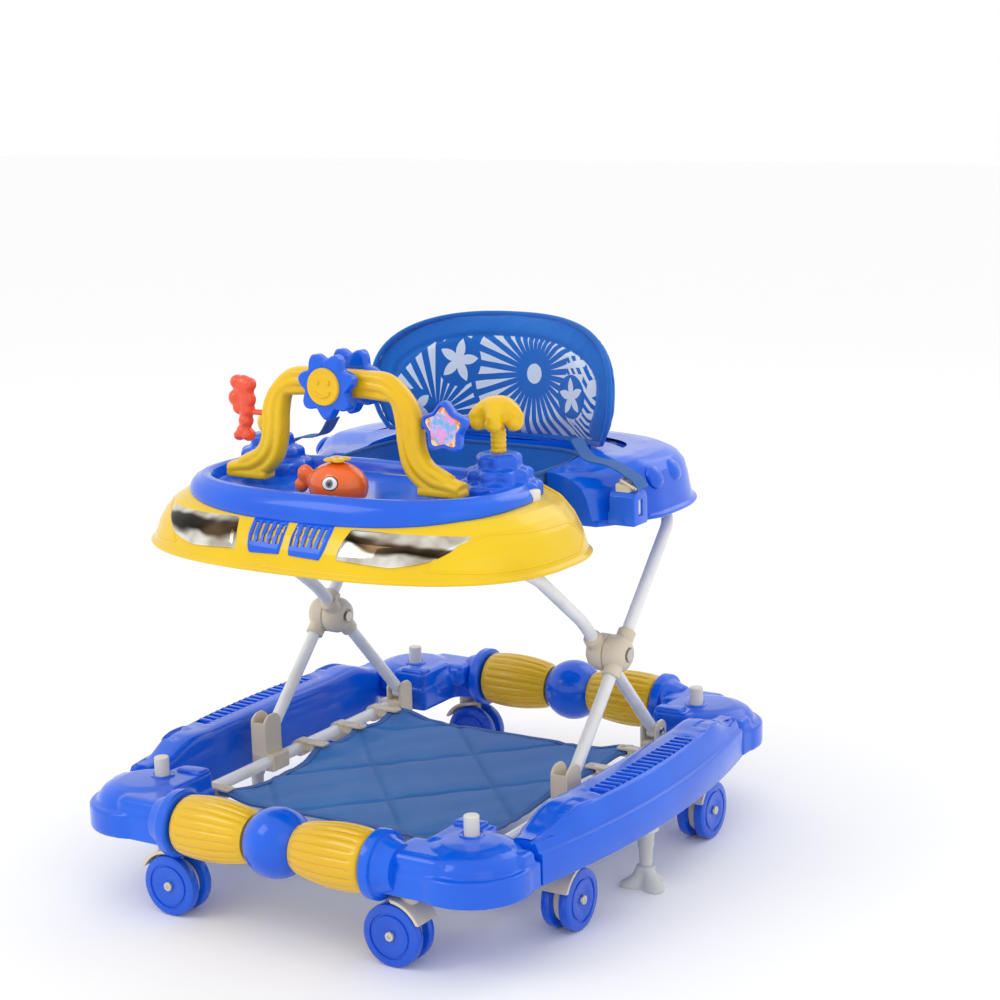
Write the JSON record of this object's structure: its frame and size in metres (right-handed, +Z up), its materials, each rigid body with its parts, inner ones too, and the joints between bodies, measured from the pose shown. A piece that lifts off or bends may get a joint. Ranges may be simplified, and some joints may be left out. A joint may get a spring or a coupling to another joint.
{
  "type": "baby walker",
  "caption": "Round-cornered baby walker: ring base on swivel casters, scissor frame, toy tray, armrest and padded seat back.",
  "frame": {"origin": "on the floor under the middle of the base", "axes": "+Z up; -Y is the front, where the toys are; +X is the right side"},
  "size_m": [0.582, 0.682, 0.5895],
  "materials": {
    "blue_plastic": "glossy moulded plastic",
    "yellow_plastic": "glossy moulded plastic",
    "beige_plastic": "satin moulded plastic",
    "white_tube": "white powder coat",
    "bare_steel": "zinc plated",
    "chrome_lamp": "vacuum chromed lens",
    "blue_canvas": "woven polyester",
    "printed_fabric": "printed padded polyester",
    "strap_webbing": "woven webbing",
    "orange_plastic": "glossy moulded plastic",
    "coral_plastic": "glossy moulded plastic",
    "white_plastic": "satin moulded plastic"
  },
  "bodies": {
    "base": {"corner_front_right": "blue_plastic", "corner_front_left": "blue_plastic", "corner_rear_right": "blue_plastic", "corner_rear_left": "blue_plastic", "side_rail_right": "blue_plastic", "side_rail_left": "blue_plastic", "base_tubes": "white_tube", "roller_axles": "bare_steel", "corner_pegs": "beige_plastic", "floor_mat": "blue_canvas", "mat_clips": "beige_plastic", "rear_brackets": "beige_plastic", "stopper_housings": "beige_plastic"},
    "front_roller": {"front_barrels": "yellow_plastic", "front_ball": "blue_plastic"},
    "rear_roller": {"rear_barrels": "yellow_plastic", "rear_ball": "blue_plastic"},
    "frame_b": {"front_rising_tube": "white_tube", "hub_inner_discs": "beige_plastic"},
    "frame_a": {"rear_rising_tube": "white_tube", "hub_outer_discs": "beige_plastic", "hub_pins": "bare_steel"},
    "sliders": {"front_sliders": "beige_plastic"},
    "tray": {"tray_shell": "yellow_plastic", "headlights": "chrome_lamp", "vent_grilles": "blue_plastic", "rear_armrest": "blue_plastic", "tray_pivots": "beige_plastic", "height_rack": "beige_plastic", "play_tray": "blue_plastic", "seat_sling": "blue_canvas", "seat_back": "printed_fabric", "belt_straps": "strap_webbing", "belt_buckles": "white_plastic", "toy_arch": "yellow_plastic"},
    "flower": {"flower_spinner": "blue_plastic"},
    "star": {"star_toy": "blue_plastic"},
    "coral": {"coral_toy": "coral_plastic"},
    "fish": {"fish_toy": "orange_plastic", "fish_sprout": "yellow_plastic"},
    "palm": {"palm_toy": "yellow_plastic"},
    "knob": {"dome_knob": "yellow_plastic"},
    "stopper_r": {"stopper_right": "beige_plastic"},
    "stopper_l": {"stopper_left": "beige_plastic"},
    "swivel_front_right": {"caster_fork_front_right": "beige_plastic"},
    "wheels_front_right": {"caster_wheels_front_right": "blue_plastic"},
    "swivel_front_left": {"caster_fork_front_left": "beige_plastic"},
    "wheels_front_left": {"caster_wheels_front_left": "blue_plastic"},
    "swivel_rear_right": {"caster_fork_rear_right": "beige_plastic"},
    "wheels_rear_right": {"caster_wheels_rear_right": "blue_plastic"},
    "swivel_rear_left": {"caster_fork_rear_left": "beige_plastic"},
    "wheels_rear_left": {"caster_wheels_rear_left": "blue_plastic"},
    "swivel_side_right_front": {"caster_fork_side_right_front": "beige_plastic"},
    "wheels_side_right_front": {"caster_wheels_side_right_front": "blue_plastic"},
    "swivel_side_right_rear": {"caster_fork_side_right_rear": "beige_plastic"},
    "wheels_side_right_rear": {"caster_wheels_side_right_rear": "blue_plastic"},
    "swivel_side_left_front": {"caster_fork_side_left_front": "beige_plastic"},
    "wheels_side_left_front": {"caster_wheels_side_left_front": "blue_plastic"},
    "swivel_side_left_rear": {"caster_fork_side_left_rear": "beige_plastic"},
    "wheels_side_left_rear": {"caster_wheels_side_left_rear": "blue_plastic"}
  },
  "joints": [
    {"name": "fold", "type": "hinge", "parent": "base", "child": "frame_b", "pos_m": [0, 0.178, 0.112], "axis": [1, 0, 0], "range_deg": [0, 33.5]},
    {"name": "scissor_hub", "type": "hinge", "parent": "frame_b", "child": "frame_a", "pos_m": [0, 0.058, 0.236], "axis": [1, 0, 0], "range_deg": [-67, 0]},
    {"name": "tray_level", "type": "hinge", "parent": "frame_a", "child": "tray", "pos_m": [0, 0.19361, 0.37613], "axis": [1, 0, 0], "range_deg": [0, 33.5]},
    {"name": "slider_level", "type": "hinge", "parent": "frame_a", "child": "sliders", "pos_m": [0, -0.062, 0.112], "axis": [1, 0, 0], "range_deg": [0, 33.5]},
    {"name": "front_roller_spin", "type": "hinge", "parent": "base", "child": "front_roller", "pos_m": [0, -0.304, 0.103], "axis": [1, 0, 0], "continuous": true},
    {"name": "rear_roller_spin", "type": "hinge", "parent": "base", "child": "rear_roller", "pos_m": [0, 0.304, 0.103], "axis": [1, 0, 0], "continuous": true},
    {"name": "flower_spin", "type": "hinge", "parent": "tray", "child": "flower", "pos_m": [0, -0.165, 0.556], "axis": [0, 1, 0], "continuous": true},
    {"name": "star_turn", "type": "hinge", "parent": "tray", "child": "star", "pos_m": [0.128, -0.165, 0.518], "axis": [1, 0, 0], "continuous": true},
    {"name": "coral_turn", "type": "hinge", "parent": "tray", "child": "coral", "pos_m": [-0.128, -0.165, 0.518], "axis": [1, 0, 0], "continuous": true},
    {"name": "fish_rock", "type": "hinge", "parent": "tray", "child": "fish", "pos_m": [0, -0.192, 0.446], "axis": [1, 0, 0], "range_deg": [-6, 6]},
    {"name": "palm_twist", "type": "hinge", "parent": "tray", "child": "palm", "pos_m": [0.146, -0.095, 0.482], "axis": [0, 0, 1], "continuous": true},
    {"name": "knob_turn", "type": "hinge", "parent": "tray", "child": "knob", "pos_m": [-0.146, -0.095, 0.482], "axis": [0, 0, 1], "continuous": true},
    {"name": "stopper_right_lift", "type": "slide", "parent": "base", "child": "stopper_r", "axis": [0, 0, 1], "range_m": [0, 0.028]},
    {"name": "stopper_left_lift", "type": "slide", "parent": "base", "child": "stopper_l", "axis": [0, 0, 1], "range_m": [0, 0.028]},
    {"name": "swivel_front_right", "type": "hinge", "parent": "base", "child": "swivel_front_right", "pos_m": [0.155, -0.297, 0.08], "axis": [0, 0, 1], "continuous": true},
    {"name": "roll_front_right", "type": "hinge", "parent": "swivel_front_right", "child": "wheels_front_right", "pos_m": [0.141, -0.297, 0.033], "axis": [0, 1, 0], "continuous": true},
    {"name": "swivel_front_left", "type": "hinge", "parent": "base", "child": "swivel_front_left", "pos_m": [-0.155, -0.297, 0.08], "axis": [0, 0, 1], "continuous": true},
    {"name": "roll_front_left", "type": "hinge", "parent": "swivel_front_left", "child": "wheels_front_left", "pos_m": [-0.141, -0.297, 0.033], "axis": [0, 1, 0], "continuous": true},
    {"name": "swivel_rear_right", "type": "hinge", "parent": "base", "child": "swivel_rear_right", "pos_m": [0.155, 0.297, 0.08], "axis": [0, 0, 1], "continuous": true},
    {"name": "roll_rear_right", "type": "hinge", "parent": "swivel_rear_right", "child": "wheels_rear_right", "pos_m": [0.141, 0.297, 0.033], "axis": [0, 1, 0], "continuous": true},
    {"name": "swivel_rear_left", "type": "hinge", "parent": "base", "child": "swivel_rear_left", "pos_m": [-0.155, 0.297, 0.08], "axis": [0, 0, 1], "continuous": true},
    {"name": "roll_rear_left", "type": "hinge", "parent": "swivel_rear_left", "child": "wheels_rear_left", "pos_m": [-0.141, 0.297, 0.033], "axis": [0, 1, 0], "continuous": true},
    {"name": "swivel_side_right_front", "type": "hinge", "parent": "base", "child": "swivel_side_right_front", "pos_m": [0.246, -0.154, 0.08], "axis": [0, 0, 1], "continuous": true},
    {"name": "roll_side_right_front", "type": "hinge", "parent": "swivel_side_right_front", "child": "wheels_side_right_front", "pos_m": [0.246, -0.14, 0.033], "axis": [1, 0, 0], "continuous": true},
    {"name": "swivel_side_right_rear", "type": "hinge", "parent": "base", "child": "swivel_side_right_rear", "pos_m": [0.246, 0.15, 0.08], "axis": [0, 0, 1], "continuous": true},
    {"name": "roll_side_right_rear", "type": "hinge", "parent": "swivel_side_right_rear", "child": "wheels_side_right_rear", "pos_m": [0.246, 0.164, 0.033], "axis": [1, 0, 0], "continuous": true},
    {"name": "swivel_side_left_front", "type": "hinge", "parent": "base", "child": "swivel_side_left_front", "pos_m": [-0.246, -0.154, 0.08], "axis": [0, 0, 1], "continuous": true},
    {"name": "roll_side_left_front", "type": "hinge", "parent": "swivel_side_left_front", "child": "wheels_side_left_front", "pos_m": [-0.246, -0.14, 0.033], "axis": [1, 0, 0], "continuous": true},
    {"name": "swivel_side_left_rear", "type": "hinge", "parent": "base", "child": "swivel_side_left_rear", "pos_m": [-0.246, 0.15, 0.08], "axis": [0, 0, 1], "continuous": true},
    {"name": "roll_side_left_rear", "type": "hinge", "parent": "swivel_side_left_rear", "child": "wheels_side_left_rear", "pos_m": [-0.246, 0.164, 0.033], "axis": [1, 0, 0], "continuous": true}
  ],
  "couplings": [
    {"joint": "scissor_hub", "follows": "fold", "ratio": -2},
    {"joint": "tray_level", "follows": "fold", "ratio": 1},
    {"joint": "slider_level", "follows": "fold", "ratio": 1}
  ]
}
